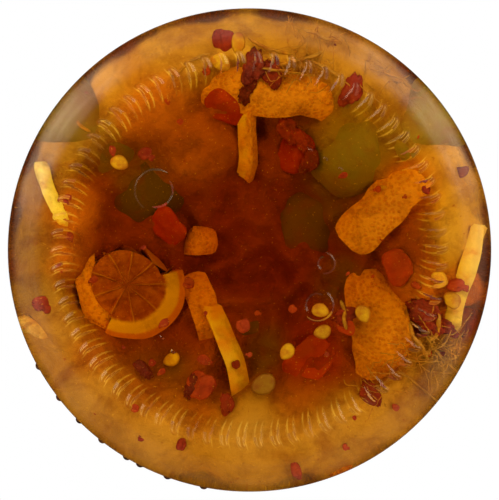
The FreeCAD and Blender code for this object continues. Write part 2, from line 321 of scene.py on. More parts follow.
class Finish:
    """A material, or the world, whose nodes come from one method."""

    def __init__(self, name, owner=None):
        self.material = owner or bpy.data.materials.new(name)
        self.material.use_nodes = True
        self.tree = self.material.node_tree
        self.tree.nodes.clear()
        self.end = self.tree.nodes.new("ShaderNodeOutputWorld" if owner else "ShaderNodeOutputMaterial")

    def node(self, kind, inputs=None, output=0, **settings):
        """A node with its settings, then its sockets' values or links, as its wired output."""
        made = self.tree.nodes.new("ShaderNode" + kind)
        for key, value in settings.items():
            setattr(made, key, value)
        for key, value in (inputs or {}).items():
            socket = made.inputs[key]
            if isinstance(value, Wired):
                self.tree.links.new(value.socket, socket)
            else:
                socket.default_value = (*value, 1) if socket.type == "RGBA" else value
        return Wired(self, made.outputs[output])

    def math(self, operation, *values):
        return self.node("Math", dict(enumerate(values)), operation=operation)

    def place(self):
        return self.node("TexCoord").output("Object")

    def cloud(self, size, detail=3.0, roughness=0.55, lump=0.0):
        """Noise with features of a size, in metres."""
        inputs = {"Vector": self.place(), "Scale": 1 / size, "Detail": detail, "Roughness": roughness}
        return self.node("TexNoise", {**inputs, "Distortion": lump})

    def cells(self, size):
        """Distance from the middle of the nearest cell, for cells of a size."""
        return self.node("TexVoronoi", {"Vector": self.place(), "Scale": 1 / size}, "Distance")

    def blend(self, factor, first, second):
        """One colour over another."""
        return self.node("Mix", {0: factor, 6: first, 7: second}, 2, data_type="RGBA")

    def mottled(self, pattern, first, second):
        """Two colours in the soft patches of a pattern."""
        return self.blend(pattern.between(0.35, 0.7), first, second)

    def attribute(self, name):
        return self.node("Attribute", attribute_name=name).output("Fac")

    def bump(self, height, depth, strength=1.0):
        return self.node("Bump", {"Height": height, "Distance": depth, "Strength": strength})

    def show(self, surface, volume=None):
        self.tree.links.new(surface.socket, self.end.inputs["Surface"])
        if volume:
            self.tree.links.new(volume.socket, self.end.inputs["Volume"])
        return self.material

    def clear(self, shade=WHITE):
        return self.node("BsdfTransparent", {"Color": shade})

    def principled(self, **inputs):
        """A Principled shader, whose sockets are named by the arguments."""
        sockets = {}
        for key, value in inputs.items():
            sockets[key.replace("_", " ").title().replace("Ior", "IOR")] = value
        return self.node("BsdfPrincipled", sockets)


def shape():
    return bpy.context.scene.jar_shape


# Tones mixed from two of the colours: the first, the second and the second's share.
MIXES = {"brown": ("zest", "depth", 0.45), "gold": ("cloud", "pith", 0.4), "moss": ("cloud", "olive", 0.3)}


def tone(name):
    """One of the jar's colours, a mix of two of them, or the cloud colour darkened as painted shade (tan)."""
    if name == "tan":
        return 0.6 * tone("cloud")
    if name in MIXES:
        first, second, share = MIXES[name]
        return tone(first).lerp(tone(second), share)
    return Vector(getattr(bpy.context.scene.jar_colours, name))


def in_oil(finish, base, rough, bump):
    """A wet surface under oil: next to no shine of its own, because oil and flesh bend light alike."""
    murk = finish.cloud(5 * MM, 4.0, 0.6, 0.5).between(0.44, 0.70)
    base = finish.blend(murk * 0.5, base, 0.9 * tone("depth"))
    specks = finish.cloud(0.34 * MM, 1.0).between(0.69, 0.77)
    base = finish.blend(specks * 0.4, base, tone("pith"))
    wet = finish.principled(base_color=base, roughness=rough, specular_ior_level=0.12, normal=bump)
    return finish.show(wet)


def paint(piece, *materials):
    piece.data.materials.clear()
    for material in materials:
        piece.data.materials.append(material)


def placed(piece, slot, *nodes):
    """Says what a finished piece rides on and stands for; its slot is not used."""
    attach(piece, "root")
    if nodes:
        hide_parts(*nodes)


def sunk(piece, material):
    """Finishes a piece that lies in the oil."""
    paint(piece, material)
    placed(piece, "filling")


# ---------------------------------------------------------------- the jar's inside


def inner_radius(height):
    """Radius of the jar's inside at a height."""
    sizes = shape()
    heel = sizes.inner_heel
    if height < FLOOR_Z + heel:
        drop = max(0.0, min(heel, FLOOR_Z + heel - height))
        return INNER_R - heel + math.sqrt(heel**2 - drop**2)
    low, high = sizes.shoulder_foot - sizes.shoulder_wall, sizes.neck_foot - sizes.shoulder_wall
    return INNER_R + (sizes.mouth - INNER_R) * clamped((height - low) / (high - low))


def floor_height(radius):
    """Height of the glass under a point, this far from the axis."""
    heel = shape().inner_heel
    out = min(heel, max(0.0, radius - INNER_R + heel))
    return FLOOR_Z + heel - math.sqrt(heel**2 - out**2)


def kept_in(point):
    """The same point, or the nearest one clear of the glass, as where a soft thing is pressed flat."""
    room = 0.15 * MM
    heel = shape().inner_heel
    radius = reach(point)
    height = max(point.z, FLOOR_Z + room)
    out, drop = radius - (INNER_R - heel), FLOOR_Z + heel - height
    most = inner_radius(height) - room
    if out > 0 and drop > 0 and math.hypot(out, drop) > heel - room:
        share = (heel - room) / math.hypot(out, drop)
        most = INNER_R - heel + out * share
        height = FLOOR_Z + heel - drop * share
    share = min(1.0, most / radius) if radius > 1e-9 else 1.0
    return Vector((point.x * share, point.y * share, height))


def lump(point, size, seed=0.0):
    """Smooth noise from -1 to 1 with lumps of a size."""
    return noise.noise(Vector(point) / size + Vector((seed, seed * 1.7, -seed)))


def on_floor(x, y, rise, turn, size, tip=0.0, lean=0.0):
    """A place over the jar's floor in millimetres, turned, tipped and leaning in degrees."""
    height = floor_height(math.hypot(x, y) * MM) + rise * MM
    turned = Matrix.Rotation(math.radians(turn), 4, "Z") @ Matrix.Rotation(math.radians(tip), 4, "X")
    turned = turned @ Matrix.Rotation(math.radians(lean), 4, "Y")
    return Matrix.Translation((x * MM, y * MM, height)) @ turned @ Matrix.Scale(size, 4)


def on_wall(bearing, height, depth=1.0, turn=0.0, size=1.0):
    """A place against the jar's wall, its Z axis pointing out through the glass."""
    radius = inner_radius(height * MM) - depth * MM
    out = Matrix.Rotation(math.radians(bearing), 4, "Z") @ Matrix.Translation((radius, 0, height * MM))
    flat = Matrix.Rotation(math.pi / 2, 4, "Y") @ Matrix.Rotation(math.radians(turn), 4, "Z")
    return out @ flat @ Matrix.Scale(size, 4)


def many(name, models, places, tints):
    """Copies of some models, each with its own mesh, joined as one piece; the models are used up."""
    copies = []
    for number, place in enumerate(places):
        model = models[number % len(models)]
        copy = model.copy()
        copy.data = model.data.copy()
        bpy.context.collection.objects.link(copy)
        copy.data.transform(place)
        copy.matrix_world = Matrix.Identity(4)
        mark(copy, "tint", [tints[number % len(tints)]] * len(copy.data.vertices))
        copies.append(copy)
    for model in models:
        bpy.data.objects.remove(model)
    piece = joined(name, copies)
    reshape(piece, kept_in)
    return piece


# ---------------------------------------------------------------- the glass


def base_line(radius):
    """Height of the base between its ribs and marks."""
    sizes = shape()
    bow = (sizes.hollow**2 + sizes.push_up**2) / (2 * sizes.push_up)
    if radius >= sizes.hollow:
        return sizes.base_rise
    return sizes.base_rise + sizes.push_up - bow + math.sqrt(bow**2 - radius**2)


def soft_least(first, second, blend):
    """The lower of two heights, with the corner between them filled."""
    share = max(0.0, blend - abs(first - second)) / blend
    return min(first, second) - share * share * blend / 4


# The slant of a rib's crescent, and a height in metres that is well over the base.
RIB_LEAN, NO_RIB = math.radians(54), 1.0


def rib_height(radius, bearing):
    """Height of the nearest rib's underside, or a height well over the base where there is none."""
    sizes = shape()
    pitch = 2 * math.pi / sizes.rib_count
    across = radius - sizes.rib_ring
    if abs(across) > 0.7 * sizes.rib_bow:
        return NO_RIB
    rise = sizes.rib_bow - math.sqrt(sizes.rib_bow**2 - across**2)
    off = (bearing / pitch - round(bearing / pitch)) * pitch * radius + math.sin(RIB_LEAN) * rise
    if abs(off) >= sizes.rib_tube:
        return NO_RIB
    return sizes.rib_tube + math.cos(RIB_LEAN) * rise - math.sqrt(sizes.rib_tube**2 - off**2)


# Plain marks in the hollow base: bearing, share of the hollow's radius, and radius of a ring's line.
BASE_MARKS = ((10.0, 0.46, 1.3), (39.0, 0.53, 2.1), (212.5, 0.67, 2.9), (301.5, 0.70, 0), (310.0, 0.71, 0),
              (318.5, 0.73, 0), (135.0, 0.74, 0), (127.0, 0.76, 0))
MARK_BACK, MARK_PROUD = 0.45 * MM, 0.27 * MM
# Mould code dots on the heel band: steps of the code from its first bearing.
CODE_DOTS = [math.radians(101 + 3.58 * step) for step in (0, 2.5, 4.5, 5.5, 7.5, 9.5, 11.5, 14)]
DOT_HEIGHT, DOT_BACK, DOT_PROUD = 8.55 * MM, 0.75 * MM, 0.42 * MM


def mark_distance(point):
    """Distance from a point of the base to the line of the nearest plain mark."""
    nearest = []
    for bearing, share, radius in BASE_MARKS:
        out, turn = share * shape().hollow, math.radians(bearing)
        distance = math.hypot(point.x - out * math.cos(turn), point.y - out * math.sin(turn))
        nearest.append(abs(distance - radius * MM))
    return min(nearest)


def dot_distance(point):
    """Distance over the heel band to the nearest dot of the mould code."""
    bearing = math.atan2(point.y, point.x)
    return min(math.hypot((bearing - dot) * BODY_R, point.z - DOT_HEIGHT) for dot in CODE_DOTS)


def back(distance, radius, proud):
    """How far a round back stands out at a distance from its line."""
    if distance >= radius:
        return 0.0
    return max(0.0, math.sqrt(radius**2 - distance**2) - radius + proud)


# The four lug threads: height, half reach and taper in degrees, slope, and how round and proud they are.
THREAD_Z, THREAD_HALF, THREAD_TAPER, THREAD_SLOPE = 102.4 * MM, 33, 3, math.radians(3.6)
THREAD_BACK, THREAD_PROUD = 1.0 * MM, 0.8 * MM


def with_relief(point):
    """A point of the glass moved onto its ribs, marks, code dots and threads."""
    sizes = shape()
    radius, bearing = reach(point), math.atan2(point.y, point.x)
    if point.z < 3 * MM and radius < sizes.rib_ring + 3 * MM:
        height = soft_least(point.z, rib_height(radius, bearing), 0.12 * MM)
        return Vector((point.x, point.y, height - back(mark_distance(point), MARK_BACK, MARK_PROUD)))
    grow = 0.0
    if radius > BODY_R - TOUCH and point.z < sizes.shoulder_foot / 2:
        grow = back(dot_distance(point), DOT_BACK, DOT_PROUD)
    elif abs(radius - sizes.neck) < TOUCH and abs(point.z - THREAD_Z) < 3.4 * MM:
        step = (math.degrees(bearing) + 45) % 90 - 45
        line = THREAD_Z + sizes.neck * math.sin(math.radians(step)) * math.tan(THREAD_SLOPE)
        proud = THREAD_PROUD * clamped((THREAD_HALF - abs(step)) / THREAD_TAPER)
        grow = back(abs(point.z - line), THREAD_BACK, proud)
    share = 1 + grow / radius if grow else 1.0
    return Vector((point.x * share, point.y * share, point.z))


def glass_outline():
    """The glass's outside from the axis up, then its inside from the lip down to the axis."""
    sizes = shape()
    dome = [Vector((radius, base_line(radius))) for radius in [sizes.hollow * k / 26 for k in range(26)]]
    heel_top = sizes.base_rise + sizes.heel
    panel = BODY_R - sizes.recess
    top = sizes.shoulder_foot - sizes.band
    bead = sizes.neck + sizes.bead_depth
    face = sizes.bead_foot + sizes.bead_depth
    outside = rounded_outline([
        (sizes.hollow, sizes.base_rise, 0),
        (BODY_R, sizes.base_rise, sizes.heel),
        (BODY_R, heel_top + sizes.band, 1.2 * MM),
        (panel, heel_top + sizes.band + sizes.slope, 1.2 * MM),
        (panel, top - sizes.slope, 1.2 * MM),
        (BODY_R, top, 1.2 * MM),
        (BODY_R, sizes.shoulder_foot, 7 * MM),
        (sizes.neck, sizes.neck_foot, 1.8 * MM),
        (sizes.neck, sizes.bead_foot, 0.3 * MM),
        (bead, face, 0.8 * MM),
        (bead, face + sizes.bead_face, 0.8 * MM),
        (sizes.neck, face + sizes.bead_face + sizes.bead_depth, 0.3 * MM),
        (sizes.neck, LIP_Z, 1.3 * MM),
        (sizes.mouth, LIP_Z, 1.3 * MM),
        (sizes.mouth, OIL_Z, 0),
    ])
    inside = inner_outline()
    return filled_in(dome + outside, 1.3 * MM)[:-1] + inside


def inner_outline():
    """The inside from the oil's surface down to the middle of the floor."""
    sizes = shape()
    points = rounded_outline([
        (sizes.mouth, OIL_Z, 0),
        (sizes.mouth, sizes.neck_foot - sizes.shoulder_wall, 6 * MM),
        (INNER_R, sizes.shoulder_foot - sizes.shoulder_wall, 6 * MM),
        (INNER_R, FLOOR_Z, sizes.inner_heel),
        (0, FLOOR_Z, 0),
    ])
    return filled_in(points, 3 * MM)


class JarPiece(bpy.types.Operator):
    """One part of the jar's looks."""

    bl_options = {"REGISTER", "UNDO"}


def glass_kind(at, way):
    """Which glass a face is: 0 where air is against it, 1 where oil is and 2 on a code dot."""
    if reach(at) > BODY_R - 0.3 * MM and dot_distance(at) < DOT_BACK:
        return 2
    inwards = way.x * at.x + way.y * at.y < 0
    floor = way.z > 0.5 and 0.9 * FLOOR_Z < at.z < 2 * FLOOR_Z
    return 1 if at.z < OIL_Z and (inwards or floor) and reach(at) <= INNER_R + TOUCH else 0


class OLIVEJAR_OT_glass(JarPiece):
    """Makes the glass jar, with its ribs, code dots, threads and rounded lip"""

    bl_idname = "olivejar.glass"
    bl_label = "Glass Jar"

    def execute(self, context):
        jar = spun("glass", glass_outline(), 3 * shape().rib_count)
        ring = shape().rib_ring
        for cuts, test in (
            (5, lambda at, way: way.z < -0.9 and at.z < FLOOR_Z / 2 and abs(reach(at) - ring) < 2.4 * MM),
            (3, lambda at, way: way.z < -0.9 and at.z < 0.7 * FLOOR_Z and mark_distance(at) < 1.1 * MM),
            (5, lambda at, way: reach(at) > BODY_R - 0.1 * MM and dot_distance(at) < 1.3 * MM),
        ):
            pick_faces(jar, test)
            bpy.ops.mesh.subdivide(number_cuts=cuts)
            done()
        reshape(jar, with_relief)
        smooth(jar)
        # The code dots' glass is darkened to 0.14: painted shade for how their round backs look dark.
        paint(jar, clear_glass("jar_glass", 1.0), wetted_glass(), clear_glass("code_dots", 0.14))
        for face in jar.data.polygons:
            face.material_index = glass_kind(face.center, face.normal)
        placed(jar, "glass", "glass_jar")
        return {"FINISHED"}


def clear_glass(name, clearness):
    """Flint glass; lamps shine through it. A clearness under 1 darkens it, as painted shade."""
    finish = Finish(name)
    shade = tuple(clearness * part for part in (0.97, 0.985, 0.975))
    mould = finish.bump(finish.cloud(9 * MM, 2.0), 0.05 * MM, 0.6)
    glass = finish.principled(
        base_color=shade, roughness=0.015, ior=1.5, transmission_weight=1.0, normal=mould
    )
    shadow = finish.node("LightPath").output("Is Shadow Ray")
    return finish.show(finish.node("MixShader", {0: shadow, 1: glass, 2: finish.clear(shade)}))


def wetted_glass():
    """Glass with oil against it, which bends light alike, so the face between them doesn't show."""
    finish = Finish("wetted_glass")
    return finish.show(finish.clear())


class OLIVEJAR_OT_oil(JarPiece):
    """Makes the oil, which reaches just into the wall of the glass"""

    bl_idname = "olivejar.oil"
    bl_label = "Oil"

    def execute(self, context):
        into, steps, density = 0.2 * MM, 96, 480.0
        outline = [Vector((0, OIL_Z))]
        for point in inner_outline():
            outline.append(Vector((point.x + into if point.x > 0 else 0, point.y)))
        for point in outline[2:]:
            if point.y < FLOOR_Z + 0.5 * MM:
                point.y -= into
        oil = spun("oil", outline, steps)
        smooth(oil, 40)
        finish = Finish("marinade_oil")
        volume = finish.node("VolumeAbsorption", {"Color": tone("oil"), "Density": density})
        paint(oil, finish.show(finish.clear(), volume))
        placed(oil, "filling", "filling")
        return {"FINISHED"}


# ---------------------------------------------------------------- the contents

# Soft fields of the contents over the floor, by their tone: x, y, size and depth inside the glass, in
# millimetres.
FIELDS = {
    "zest": (
        (-15.4, -23.2, 6.4, 1.4), (-28.4, -6.1, 4, 1.6), (25.6, -10.4, 4.4, 4), (34.6, 6, 3, 0.9),
        (26, 6, 3.6, 2), (-28.6, 1.7, 3.6, 1.2), (27, -11, 4, 1.4),
    ),
    "cloud": (
        (-7.6, -29.8, 5.5, 0.8), (11, -33, 4.4, 0.9), (6.4, -31, 5.5, 1), (18.8, -28.6, 6.5, 0.8),
        (0, 30, 7, 0.6), (12.6, 28.8, 6.6, 0.6), (24, 26, 6, 0.7), (-31, 12.6, 5.4, 0.6),
        (-26.8, 23.5, 6.6, 0.5), (-15, 29.7, 7, 0.5),
    ),
    "brown": (
        (-10, -15.5, 6.5, 2.6), (20, -4.6, 4.4, 5), (20.5, 13, 6, 4.4), (7.9, 23.4, 4, 2),
        (-24.6, 16.4, 3.6, 1.4), (-15.4, 21.5, 4.6, 1.8), (-7.6, 23.4, 4.6, 2.4), (-5, 11, 5, 5.5),
        (6.5, -24.4, 4.6, 4.6), (-5, 17.5, 4, 4.6),
    ),
    "olive": (
        (-24.9, -18.9, 4.2, 1.1), (17, -17.3, 6.6, 2.6), (24.6, -18.9, 4.4, 1),
    ),
    "dark_olive": (
        (-16, -12.6, 4, 4.5), (12.6, -7.7, 5, 6), (2.5, 15.7, 3.6, 5), (-13.6, 18, 4, 3),
        (13.4, 4.6, 3.2, 5.5),
    ),
    "moss": (
        (-30, -18, 4.5, 0.9), (28, -22, 4, 0.9),
    ),
    "gold": (
        (-21.5, -27, 4.6, 0.9), (-1, -33, 4, 0.8), (-14.6, -31.6, 4.4, 0.9), (32.6, -9, 3.8, 0.9),
        (32.4, -2.4, 4.4, 0.8), (31, -14, 4.4, 0.9),
    ),
    # tan: the cloud colour darkened, painted shade towards the rim.
    "tan": (
        (-33, -10, 4.4, 0.9), (30, 18.5, 5.6, 1), (-34, -1, 4.4, 0.9), (-33.5, 7, 4.4, 0.8),
    ),
    "depth": (
        (-9.2, -7.2, 4, 7), (2, 3.5, 8, 8.5), (6, -3, 6, 9),
    ),
    "pulp": (
        (-17.5, -3.2, 4, 5), (-3.7, -5.3, 5, 6), (4, -13.1, 4, 5.5), (26.5, -0.5, 3.6, 2.6),
        (-19, 6, 7, 6.5), (-13, 13.5, 4.4, 5), (-3.5, -24.6, 4.6, 4.6),
    ),
    "pepper": (
        (9.5, 17.2, 5, 4),
    ),
}
# The mass's top, and the heights at which its cloudy foot gives way to a rim of painted shade and the rim to
# an uneven side.
MASH_TOP, RIM_Z, SIDE_Z = 88 * MM, FLOOR_Z + 5.45 * MM, FLOOR_Z + 8 * MM


def field_at(x, y):
    """The contents' colour and depth inside the glass in millimetres, over a point of the floor."""
    total, shade, inset = 0.05, 0.05 * tone("depth"), 0.05 * 6.0
    for name, spots in FIELDS.items():
        share = 0.0
        for at_x, at_y, size, depth in spots:
            weight = math.exp(-1.6 * ((x / MM - at_x) ** 2 + (y / MM - at_y) ** 2) / size**2)
            share, inset = share + weight, inset + weight * depth
        total, shade = total + share, shade + share * tone(name)
    return shade / total, inset / total


def mash_at(at):
    """The mass's colour, with painted shade at its rim, at a point of the glass's inside, and how far it lies
    inside the glass.
    """
    rough = lump(at, 6 * MM, 1) + 0.5 * lump(at, 2.5 * MM, 2)
    shade, inset = field_at(at.x, at.y)
    inset *= 1 + min(0.45, 0.12 * inset) * rough
    rim, up = clamped((at.z - RIM_Z) / (0.6 * MM)), clamped((at.z - SIDE_Z) / (6 * MM))
    # Painted shade: the rim is the cloud colour darkened, and near black except towards +Y.
    shadow = clamped((0.42 - at.y / max(INNER_R / 2, reach(at))) / 0.2)
    line = tone("tan").lerp(0.35 * tone("depth"), shadow)
    side = tone("brown").lerp(tone("depth"), 0.5 + 0.5 * lump(at, 6 * MM, 9))
    return shade.lerp(line.lerp(side, up), rim), inset + (4.2 + 2.4 * rough - inset) * up


def mash_skin():
    """Mottled and flecked, calm where the cloudy oil lies against the glass, and with painted light from the
    ribs.
    """
    finish = Finish("mash")
    rough = 1.0 - 0.5 * finish.attribute("calm")
    mottle = finish.cloud(3.0 * MM, 5.0, 0.62, 0.3)
    fine = finish.cloud(0.7 * MM, 4.0, 0.65)
    shade = finish.node("Attribute", attribute_name="shade").output("Color")
    dim = finish.blend(0.5, shade, 0.5 * tone("depth"))
    base = finish.blend(mottle.between(0.42, 0.7) * rough, shade, dim)
    base = finish.blend(fine.between(0.64, 0.74) * 0.6, base, tone("pepper"))
    # Painted light: bright arcs of the ribs' bent light on the mass.
    base = finish.blend(rib_light(finish), base, (0.92, 0.58, 0.20))
    return in_oil(finish, base, 0.6, finish.bump((mottle + 0.4 * fine) * rough, 0.8 * MM))


def rib_light(finish):
    """Painted light where the ribs bend light onto the contents: a pair of fine bright arcs over each rib."""
    sizes = shape()
    axes = finish.node("SeparateXYZ", {0: finish.place()})
    x, y = axes.output("X"), axes.output("Y")
    low = (FLOOR_Z + 7 * MM - axes.output("Z")).between(0.0, 2 * MM)
    across = (x * x + y * y) ** 0.5 - sizes.rib_ring
    lean = across * across * (0.4 / sizes.rib_bow * sizes.rib_count / (2 * math.pi * sizes.rib_ring))
    turns = finish.math("ARCTAN2", y, x) * (sizes.rib_count / (2 * math.pi)) + lean + 100.5
    off = finish.math("ABSOLUTE", finish.math("FRACT", turns) - 0.5)
    line = 1.0 - finish.math("ABSOLUTE", off - 0.19).between(0.02, 0.085)
    ring = 1.0 - finish.math("ABSOLUTE", across).between(1.5 * MM, 2.5 * MM)
    return line * ring * low * finish.cloud(4 * MM, 2.0).between(0.3, 0.65) * 0.5


class OLIVEJAR_OT_mash(JarPiece):
    """Makes the mass of contents behind the pieces that show"""

    bl_idname = "olivejar.mash"
    bl_label = "Mash"

    def execute(self, context):
        outline = [Vector((0, MASH_TOP)), Vector((16 * MM, MASH_TOP)), Vector((24 * MM, MASH_TOP - 2 * MM))]
        outline += [point for point in inner_outline() if point.y < MASH_TOP - 4 * MM]
        fine, steps, edge = 0.6 * MM, 180, MASH_TOP - 6 * MM
        mash = spun("mash", filled_in(outline, fine), steps)
        normals = [vertex.normal.copy() for vertex in mash.data.vertices]
        shades, calms = [], []
        for vertex, normal in zip(mash.data.vertices, normals):
            at = vertex.co.copy()
            shade, inset = mash_at(at)
            shades += (*shade, 1.0)
            calms.append(max(0.0, 1 - 6 * (shade - tone("cloud")).length))
            if at.z < edge:
                vertex.co = at - normal * inset * MM
            else:
                vertex.co.z += 2 * MM * lump(at, 7 * MM, 4)
        layer = mash.data.attributes.new("shade", "FLOAT_COLOR", "POINT")
        layer.data.foreach_set("color", shades)
        mark(mash, "calm", calms)
        smooth(mash)
        sunk(mash, mash_skin())
        return {"FINISHED"}


# How far from the axis the smallest bits lie on the floor, in millimetres.
FLOOR_REACH = 33.4
# What lies over the floor: x, y and height over the glass in millimetres, turn in degrees and size, then tip
# and lean in degrees where it isn't level.
OVER_FLOOR = {
    "green_olives": (
        (17, -16, 9, 35, 7.4, 88, 8), (24.6, -18, 7.6, 75, 6.2, 82), (-23.8, -17.6, 7.7, 130, 6.2, 84),
    ),
    "dark_olives": (
        (-15, -10.6, 11.3, 60, 7.4, 80), (9.5, -5.5, 14, 20, 7.6, 80), (2.5, 14.5, 13, 100, 7, 85),
    ),
    "red_pepper": (
        (-4, -22.4, 3.6, 20, 0.8, 8), (23.2, 2.6, 2.2, 60, 0.66, 6), (7, -15.5, 4.6, 110, 0.8, 10),
        (15, 11.8, 1.6, 15, 0.36, 4, 8), (8.8, 35, 3, 30, 0.36, 40), (9.5, 17.4, 3.6, 130, 0.95, 8),
        (-12.8, -3.6, 4.4, 40, 0.7, 15),
    ),
    "dried_chilli": (
        (0.8, -28.2, 1.6, 100, 0.8, 0, 10), (3.4, -27.6, 1.8, 75, 0.8, 10),
        (-0.6, -24.6, 2.2, 100, 0.7, 10), (15.8, -24.4, 1.6, 110, 0.72, 5), (26.6, 9, 1.8, 20, 0.85, 5),
        (27.4, 11.4, 2, 30, 0.8, 0, 6), (29.6, 11.6, 2, 20, 0.5, 0, 6), (18.7, 21.8, 1.8, 60, 0.72, 5),
        (-9.2, 21.3, 1.6, 100, 0.6), (-3.4, 24, 1.6, 80, 0.5, 5), (6, -19, 3.4, 70, 0.8, 5),
        (8.3, -16.4, 3.2, 40, 0.7, 5), (9.4, -13.6, 3.2, 110, 0.6, 5), (14.6, 10.2, 1.8, -15, 0.7, 5),
        (-16.4, 18.8, 1.4, 35, 0.55),
    ),
    "chilli_flakes": (
        (-15.7, -14.6, 0.8, 30, 1.4), (-21.2, -15.2, 0.8, 80, 0.9), (-4.1, -32.1, 0.8, 60, 1.5),
        (32, 5.6, 0.8, 15, 1.4), (-13.4, 11.4, 0.8, 140, 1), (-1.1, 11.6, 0.8, 40, 1),
        (-29.3, 20, 0.7, 20, 1.2), (-19.1, 28.9, 0.7, 70, 1.5), (-24.9, 24.3, 0.7, 100, 1.1),
        (9.4, 33.8, 0.8, 10, 1.6), (7, 33, 0.8, 60, 1.2), (-7.6, 20.6, 1.4, 80, 2),
        (-31.2, 8.6, 0.8, 40, 1.6), (-6.8, 17.2, 1.2, 20, 1.3),
    ),
    "chilli_seeds": (
        (-20.2, -13.6, 0.9, 20, 1.05, 4), (-1.7, -31.7, 0.9, 100, 0.95), (-4.5, -29.1, 1, 30, 1.2, 20),
        (10.9, 9.3, 0.9, 10, 1, 3), (11.4, 12.7, 0.9, 160, 1, 0, 3), (17.6, 9.8, 0.9, 60, 1.05, 4),
        (5.9, 15.7, 0.9, 120, 1), (31, 7.6, 0.8, 80, 0.95, 8), (29.3, 4.3, 0.9, 35, 1),
        (2.3, 20.8, 0.8, 150, 1.45), (-12, 17, 2.6, 150, 1, 20), (21, -9, 3.2, 40, 1, 20),
    ),
}


def over_floor(name):
    return [on_floor(*spot) for spot in OVER_FLOOR[name]]


def olive_model(seed):
    """An olive a millimetre in radius at its waist, with a blunt and a pointed end."""
    olive = basic("uv_sphere", "olive_model", segments=28, ring_count=18, radius=1)

    def bulge(at):
        taper = 1 - 0.07 * at.z
        dent = 0.14 * math.exp(-((1 - at.z) / 0.06) ** 2 * 0.5) if at.z > 0.7 else 0
        swell = 1 + 0.035 * lump(at, 0.8, seed)
        return Vector((at.x * taper * swell, at.y * taper * swell, (1.28 + 0.06 * at.z) * at.z - dent)) * MM

    reshape(olive, bulge)
    smooth(olive)
    return olive


def wall_rows():
    """Places for olives in rows round the wall and over the top."""
    rows, around, first, apart, highest = 6, 11, 27.0, 11.8, 84
    chance = random.Random(11)
    places = []
    for row in range(rows):
        for number in range(around):
            bearing = (number + 0.5 * (row % 2) + chance.uniform(-0.16, 0.16)) * 360 / around
            height = first + row * apart + chance.uniform(-2.2, 2.2)
            if height > highest:
                continue
            size = chance.uniform(6.6, 7.9)
            turn = Matrix.Rotation(chance.uniform(0, math.pi), 4, "Z")
            tip = chance.uniform(-0.5, 0.5)
            tip += math.pi / 2 if chance.random() < 0.6 else 0
            spot = on_wall(bearing, height, size * 0.93 + chance.uniform(0, 1.6))
            places.append(spot @ turn @ Matrix.Rotation(tip, 4, "X") @ Matrix.Scale(size, 4))
    for number in range(9):
        bearing, out = number * 137.5, (4 + 2.0 * number) * MM
        spot = Matrix.Translation((out * math.cos(bearing), out * math.sin(bearing), 86 * MM))
        places.append(spot @ Matrix.Rotation(chance.uniform(0, 3), 4, "Y") @ Matrix.Scale(7.2, 4))
    return places


def olive_skin(name, base, pale):
    finish = Finish(name)
    mottle = finish.cloud(2.6 * MM, 4.0, 0.6, 0.4)
    fine = finish.cloud(0.5 * MM, 3.0, 0.6)
    skin = finish.blend(mottle.between(0.38, 0.66), base, pale)
    skin = finish.blend((finish.attribute("tint") * 0.6).between(0.0, 1.0), skin, 0.55 * base)
    skin = finish.blend(fine.between(0.66, 0.74), skin, 0.4 * base)
    return in_oil(finish, skin, 0.32, finish.bump(mottle + 0.5 * fine, 0.25 * MM))


class OLIVEJAR_OT_olives(JarPiece):
    """Makes the green and the dark olives"""

    bl_idname = "olivejar.olives"
    bl_label = "Olives"

    def execute(self, context):
        rows = wall_rows()
        tints = (0.15, 0.5, 0.0, 0.8, 0.3, 0.95, 0.4)
        for name, base, pale, seeds, turns in (
            ("green_olive", "olive", (0.28, 0.17, 0.016), (3, 5), (0, 2, 4)),
            ("dark_olive", "dark_olive", (0.13, 0.06, 0.025), (7, 9), (1, 3)),
        ):
            places = [place for number, place in enumerate(rows) if number % 5 in turns]
            models = [olive_model(seed) for seed in seeds]
            olives = many(name + "s", models, places + over_floor(name + "s"), tints)
            sunk(olives, olive_skin(name + "_skin", tone(base), pale))
        return {"FINISHED"}


def along(points, share):
    """A point at a share of the way along a smooth line through some points, and its direction."""
    count = len(points) - 1
    step = min(count - 1, int(share * count))
    t = share * count - step
    p = [points[max(0, step - 1)], points[step], points[step + 1], points[min(count, step + 2)]]
    at = 0.5 * (2 * p[1] + (p[2] - p[0]) * t + (2 * p[0] - 5 * p[1] + 4 * p[2] - p[3]) * t * t
                + (3 * p[1] - p[0] - 3 * p[2] + p[3]) * t**3)
    way = 0.5 * ((p[2] - p[0]) + 2 * (2 * p[0] - 5 * p[1] + 4 * p[2] - p[3]) * t
                 + 3 * (3 * p[1] - p[0] - 3 * p[2] + p[3]) * t * t)
    return at, way.normalized()


